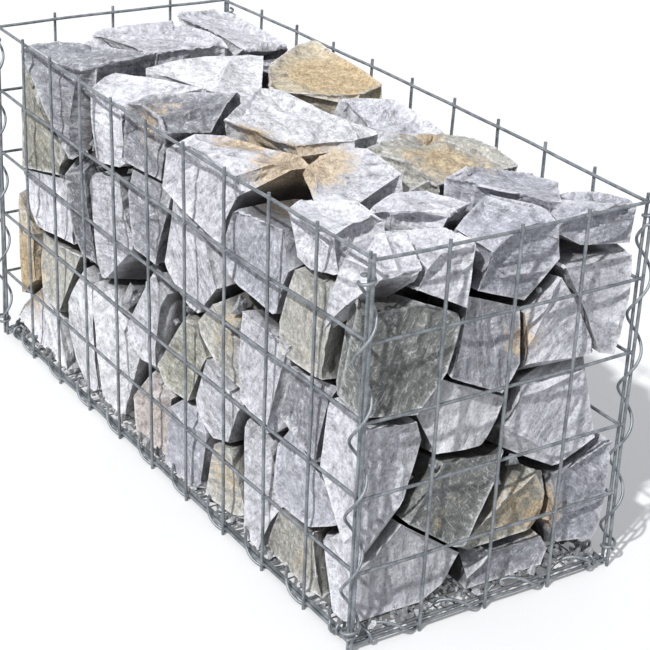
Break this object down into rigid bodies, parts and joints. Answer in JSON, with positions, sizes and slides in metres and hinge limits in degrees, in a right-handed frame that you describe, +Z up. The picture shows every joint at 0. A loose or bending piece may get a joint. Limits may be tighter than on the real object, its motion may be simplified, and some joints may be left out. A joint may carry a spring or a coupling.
{
  "type": "stone-filled gabion basket",
  "caption": "Open-topped welded-mesh gabion basket, bound along its edges with wire spirals and filled to the rim with angular quarry stones.",
  "frame": {"origin": "on the ground under the middle of the basket", "axes": "+X along the basket's length, +Y from the front long face to the back one, +Z up"},
  "size_m": [1.0346, 0.433, 0.523],
  "materials": {
    "mesh_wire": "galvanised",
    "spiral_wire": "galvanised",
    "stone": "broken"
  },
  "bodies": {
    "root": {"back_bottom_spiral": "spiral_wire", "back_left_spiral": "spiral_wire", "back_panel": "mesh_wire", "back_right_spiral": "spiral_wire", "back_stones_1": "stone", "back_stones_2": "stone", "back_stones_3": "stone", "back_stones_4": "stone", "base_panel": "mesh_wire", "core_stones_1": "stone", "core_stones_2": "stone", "corner_stones": "stone", "front_bottom_spiral": "spiral_wire", "front_left_spiral": "spiral_wire", "front_panel": "mesh_wire", "front_right_spiral": "spiral_wire", "front_stones_1": "stone", "front_stones_2": "stone", "front_stones_3": "stone", "front_stones_4": "stone", "front_stones_5": "stone", "front_stones_6": "stone", "front_stones_7": "stone", "front_stones_8": "stone", "left_bottom_spiral": "spiral_wire", "left_panel": "mesh_wire", "left_stones": "stone", "right_bottom_spiral": "spiral_wire", "right_panel": "mesh_wire", "right_stones_1": "stone", "right_stones_2": "stone", "right_stones_3": "stone", "top_stones_1": "stone", "top_stones_2": "stone", "top_stones_3": "stone"}
  },
  "joints": []
}
